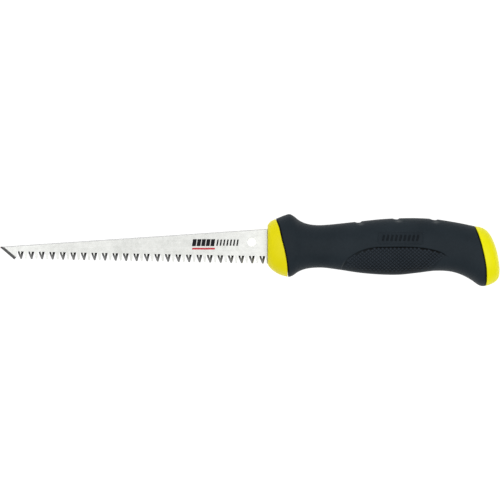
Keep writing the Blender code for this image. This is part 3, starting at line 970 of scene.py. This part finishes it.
def makeGrip():
    lip = handle["lip"]
    front = seamAt("front", gap / 2 + lip)
    rear = seamAt("rear", -gap / 2 - lip)
    outer = np.stack([skin(at, around) for at in evenSteps(front, rear, grip["rings"], grip["dense"])])
    rings = lipRings("front", 1) + list(gripRelief(outer)) + lipRings("rear", -1)[::-1]
    inner = evenSteps(seamAt("rear", -gap / 2), seamAt("front", gap / 2), grip["innerRings"])
    rings += [skin(at, around, handle["wall"] - gap) for at in inner]
    obj = ringBody("gripSkin", rings, rubberBlack, loop=True, smoothAngle=50)
    places = np.array([v.co for v in obj.data.vertices])
    margin = studs["margin"]
    room = [panelShare(places + np.array([way * margin, margin, 0])) for way in (-1, 1)]
    store(obj, "studRoom", np.minimum(*room))
    dark, pale = grip["dark"], grip["pale"]
    # painted shade on the panel floor, along the crease and beside the seams, plus the emblem plate's darker tone
    groove = floorShare(places) + creaseShare(places) * dark["crease"]
    groove = groove + seamShare(places) + emblemShare(places) * dark["emblem"]
    store(obj, "groove", np.clip(groove, 0, 1))
    # painted highlights at the notches' lower ends and at the front end of the panel's edge
    worn = notchEndShare(places) * pale["rubbed"] + edgeShare(places) * pale["edge"]
    store(obj, "worn", np.clip(worn, 0, 1))
    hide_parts("grip_sleeve")
    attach(obj, "root")
    return obj


gripSkin = makeGrip()
print("grip made")


butt = {
    "floor": 0.12,  # stations between the core's end and the cap's inner floor
    "floorInsets": (0.008, 0.003),
    "innerRings": 10,
    "step": 0.0012,
    "outerRings": 60,
    "endInsets": (0.0004, 0.0010, 0.0020, 0.0034),
}


def makeButt():
    sides = handle["sides"]
    socket = handle["wall"] - gap
    last = len(handle["stations"]) - 1.0
    back = gap / 2 + handle["seamWidth"]
    edge = seamAt("rear", back)
    start = seamAt("rear", back + handle["lip"])
    floor = np.full(sides, handle["spineLast"] + butt["floor"])
    rings = [skin(floor, around, socket + more) for more in butt["floorInsets"]]
    rings += [skin(at, around, socket) for at in evenSteps(floor, edge, butt["innerRings"])]
    rings += [skin(edge, around, butt["step"])]
    rings += lipRings("rear", 1, handle["seamWidth"])
    rings += [skin(start + (last - start) * f, around) for f in np.linspace(0, 1, butt["outerRings"])]
    rings += [skin(np.full(sides, last), around, inset) for inset in butt["endInsets"]]
    obj = ringBody("buttCapShell", rings, yellowCap, smoothAngle=45)
    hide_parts("butt_cap")
    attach(obj, "root")


makeButt()
print("butt cap made")


def studTree():
    kinds = {
        "Surface": "Object", "Finish": "Material", "Side": "Float", "Pitch": "Vector", "Width": "Float",
        "Top": "Float", "Height": "Float", "Middle": "Vector", "Columns": "Int", "Rows": "Int", "Share": "Float",
    }
    tree = Tree("panelStuds", kinds)
    pitch = tree.parts(tree["Pitch"])
    sizes = [
        tree.sum("MULTIPLY", tree.sum("SUBTRACT", tree[label], 1.0), step)
        for label, step in (("Columns", pitch[0]), ("Rows", pitch[1]))
    ]
    inputs = {"Size X": sizes[0], "Size Y": sizes[1], "Vertices X": tree["Columns"], "Vertices Y": tree["Rows"]}
    grid = tree.add("MeshGrid", inputs)
    shifted = tree.plus(tree["Middle"], tree.scaled(tree["Pitch"], 0.5))
    moves = (tree["Middle"], shifted)
    lattices = [tree.add("Transform", {"Geometry": grid, "Translation": move}) for move in moves]
    lattice = tree.add("JoinGeometry", {0: lattices})
    points = tree.add("MeshToPoints", {"Mesh": lattice})
    ray = tree.onto(tree["Surface"], tree["Side"])
    settled = tree.add("SetPosition", {"Geometry": points, "Position": ray["Hit Position"]})
    radius = tree.sum("MULTIPLY", tree["Width"], 0.5)
    top = tree.sum("MULTIPLY", tree["Top"], 0.5)
    inputs = {"Vertices": 4, "Radius Top": top, "Radius Bottom": radius, "Depth": tree["Height"]}
    stud = tree.add("MeshCone", inputs)
    flip = tree.sum("MULTIPLY", tree.sum("SUBTRACT", 1.0, tree["Side"]), math.pi / 2)
    inputs = {"Rotation": tree.vector(x=flip), "Vector": ray["Hit Normal"]}
    facing = tree.add("FunctionNodeAlignRotationToVector", inputs, axis="Z")
    textured = tree.sum("GREATER_THAN", ray["Attribute"], tree["Share"])
    squash = tree.vector(1.0, tree.sum("DIVIDE", pitch[1], pitch[0]), 1.0)
    inputs = {"Points": settled, "Selection": textured, "Instance": stud, "Rotation": facing, "Scale": squash}
    tree.close(tree.add("InstanceOnPoints", inputs), tree["Finish"])
    return tree


def bothSides(tree, names, values, smoothAngle=None):
    for name, side in zip(names, (1.0, -1.0)):
        obj = tree.make(name, {"Surface": gripSkin, "Side": side, **values})
        if smoothAngle:
            smooth(obj, smoothAngle)
        print(name, len(obj.data.polygons), "faces")
        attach(obj, "root")


def makeStuds():
    low, high = np.array(studs["low"]), np.array(studs["high"])
    columns, rows = (int(size / pitch) + 1 for size, pitch in zip(high - low, studs["pitch"]))
    values = {
        "Finish": rubberStud, "Pitch": (*studs["pitch"], 0.0), "Width": studs["width"], "Top": studs["top"],
        "Height": studs["height"], "Middle": (*((low + high) / 2).tolist(), midZ),
        "Columns": columns, "Rows": rows, "Share": studs["share"],
    }
    bothSides(studTree(), ("panelStudsLeft", "panelStudsRight"), values)


makeStuds()
print("panel studs made")


def emblemTree():
    # frame and ribs are lines, laid on the grip and swept with a round bead
    kinds = {
        "Surface": "Object", "Frame finish": "Material", "Rib finish": "Material", "Side": "Float",
        "Middle": "Vector", "Width": "Float", "Depth": "Float", "Corner": "Float", "Line": "Float",
        "Rib line": "Float", "Ribs": "Int", "Rib pitch": "Float", "Rib rise": "Vector", "Sink": "Float",
    }
    tree = Tree("raisedEmblem", kinds)
    box = tree.add("CurvePrimitiveQuadrilateral", {"Width": tree["Width"], "Height": tree["Depth"]})
    inputs = {"Curve": box, "Count": 6, "Radius": tree["Corner"], "Limit Radius": True}
    box = tree.add("FilletCurve", inputs, mode="POLY")
    first = tree.sum("MULTIPLY", tree.sum("SUBTRACT", 1.0, tree["Ribs"]), tree.sum("MULTIPLY", tree["Rib pitch"], 0.5))
    inputs = {"Count": tree["Ribs"], "Start Location": tree.vector(first), "Offset": tree.vector(tree["Rib pitch"])}
    row = tree.add("MeshLine", inputs)
    rise = tree["Rib rise"]
    rib = tree.add("CurvePrimitiveLine", {"Start": tree.scaled(rise, -1.0), "End": rise})
    ribs = tree.add("InstanceOnPoints", {"Points": row, "Instance": rib})
    ribs = tree.add("RealizeInstances", {0: ribs})
    ray = tree.onto(tree["Surface"], tree["Side"])
    sunk = tree.scaled(ray["Hit Normal"], tree.sum("MULTIPLY", tree["Sink"], -1.0))
    place = tree.plus(ray["Hit Position"], sunk)
    swept = []
    for lines, radius in ((box, tree["Line"]), (ribs, tree["Rib line"])):
        lines = tree.add("Transform", {"Geometry": lines, "Translation": tree["Middle"]})
        lines = tree.add("ResampleCurve", {"Curve": lines, "Length": emblem["step"]}, mode="LENGTH")
        lines = tree.add("SetPosition", {"Geometry": lines, "Position": place})
        bead = tree.add("CurvePrimitiveCircle", {"Resolution": 10, "Radius": radius}, mode="RADIUS")
        inputs = {"Curve": lines, "Profile Curve": bead, "Fill Caps": True}
        swept.append(tree.add("CurveToMesh", inputs))
    inputs = {"Geometry": swept[1], "Name": "ground", "Value": True}  # the ribs take the second finish
    swept[1] = tree.add("StoreNamedAttribute", inputs, data_type="BOOLEAN", domain="FACE")
    swept = tree.add("JoinGeometry", {0: swept})
    tree.close(swept, tree["Frame finish"], tree["Rib finish"])
    return tree


def makeEmblem():
    values = {
        "Frame finish": rubberBlack, "Rib finish": rubberRib, "Middle": (*emblem["middle"], midZ),
        "Width": emblem["width"], "Depth": emblem["depth"], "Corner": emblem["corner"], "Line": emblem["line"],
        "Rib line": emblem["ribLine"], "Ribs": emblem["ribs"], "Rib pitch": emblem["ribPitch"],
        "Rib rise": (emblem["ribLean"], emblem["ribRise"] / 2, 0.0), "Sink": emblem["sink"],
    }
    bothSides(emblemTree(), ("emblemLeft", "emblemRight"), values, 50)


makeEmblem()
print("emblem made")


# printed mark on the blade: plain slanted bars over a rule

mark = {
    "ink": 0.000025,
    # finish, middle of the first bar, its width and height, pitch, count, slant
    "bars": {
        "boldBars": (inkBlack, -0.0316, 0.0042, 0.0022, 0.0040, 0.00262, 5, 0.0006),
        "thinBars": (inkBlack, -0.0184, 0.0042, 0.0009, 0.0036, 0.0019, 7, 0.0006),
        "redRule": (inkRed, -0.0264, 0.00075, 0.0130, 0.0010, 0.0, 1, 0.0002),
    },
}


def barTree():
    kinds = {
        "Finish": "Material", "First": "Vector", "Pitch": "Vector", "Count": "Int", "Bar": "Vector", "Slant": "Float",
    }
    tree = Tree("printedBars", kinds)
    inputs = {"Count": tree["Count"], "Start Location": tree["First"], "Offset": tree["Pitch"]}
    row = tree.add("MeshLine", inputs)
    bar = tree.add("MeshCube", {"Size": tree["Bar"]})
    share = tree.sum("DIVIDE", tree.parts(tree.add("InputPosition"))[1], tree.parts(tree["Bar"])[1])
    lean = tree.sum("MULTIPLY", share, tree["Slant"])
    bar = tree.add("SetPosition", {"Geometry": bar, "Offset": tree.vector(lean)})
    bars = tree.add("InstanceOnPoints", {"Points": row, "Instance": bar})
    tree.close(bars, tree["Finish"])
    return tree


def makeMark():
    tree = barTree()
    for name, (ink, x, y, width, height, pitch, count, slant) in mark["bars"].items():
        values = {
            "Finish": ink, "First": (x, y, bladeBox[1].z), "Pitch": (pitch, 0.0, 0.0), "Count": count,
            "Bar": (width, height, mark["ink"] * 2), "Slant": slant,
        }
        obj = tree.make(name, values)
        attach(obj, "root")


makeMark()
print("printed mark made")

for name in ("tang_pin_front", "tang_pin_rear", "core_dowel"):
    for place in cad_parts[name].material_slots:
        place.material = steelPin


# studio: pale floor, soft lamps, camera straight above

studio = {
    "frameWidth": 0.2855,
    "lens": 200.0,
    "sensor": 36.0,
    "floor": 3.0,  # half the floor's side
    "middleX": 0.00014,
    "world": 0.40,
    "lamps": (
        # name, place, size, watts
        ("overheadLamp", (0.0, -0.08, 1.90), (3.0, 1.3), 26.5),
        ("backLamp", (0.0, 0.90, 0.35), (1.6, 0.25), 1.2),
    ),
}


def makeStudio():
    scene = bpy.context.scene
    reach = studio["floor"]
    verts = [(-reach, -reach, 0), (reach, -reach, 0), (reach, reach, 0), (-reach, reach, 0)]
    floor = meshObject("paleTable", verts, [(0, 1, 2, 3)], paleFloor())
    if floor.data.polygons[0].normal.z < 0:
        floor.data.flip_normals()
    for name, place, shape, watts in studio["lamps"]:
        lamp = bpy.data.lights.new(name, "AREA")
        lamp.shape = "RECTANGLE"
        lamp.size, lamp.size_y = shape
        lamp.energy = watts
        obj = bpy.data.objects.new(name, lamp)
        obj.location = place
        obj.rotation_euler = (Vector((0, 0, midZ)) - Vector(place)).to_track_quat("-Z", "Y").to_euler()
        scene.collection.objects.link(obj)
    world = bpy.data.worlds.new("paleRoom")
    world.use_nodes = True
    nodes = world.node_tree.nodes
    light, seen = nodes["Background"], nodes.new("ShaderNodeBackground")
    for node, strength in ((light, studio["world"]), (seen, 1.0)):
        node.inputs["Color"].default_value = grey(1.0)
        node.inputs["Strength"].default_value = strength
    ray = nodes.new("ShaderNodeLightPath")
    both = nodes.new("ShaderNodeMixShader")
    for start, end in (
        (ray.outputs["Is Camera Ray"], both.inputs[0]),
        (light.outputs[0], both.inputs[1]),
        (seen.outputs[0], both.inputs[2]),
        (both.outputs[0], nodes["World Output"].inputs[0]),
    ):
        world.node_tree.links.new(start, end)
    scene.world = world
    view = bpy.data.cameras.new("topCamera")
    view.lens = studio["lens"]
    view.sensor_width = studio["sensor"]
    height = studio["frameWidth"] / 2 / (view.sensor_width / 2 / view.lens)
    camera = bpy.data.objects.new("topCamera", view)
    camera.location = (studio["middleX"], 0.0, midZ + height)
    view.clip_end = height * 3
    scene.collection.objects.link(camera)
    scene.camera = camera
    scene.view_settings.view_transform = "Standard"


makeStudio()
print("studio made")
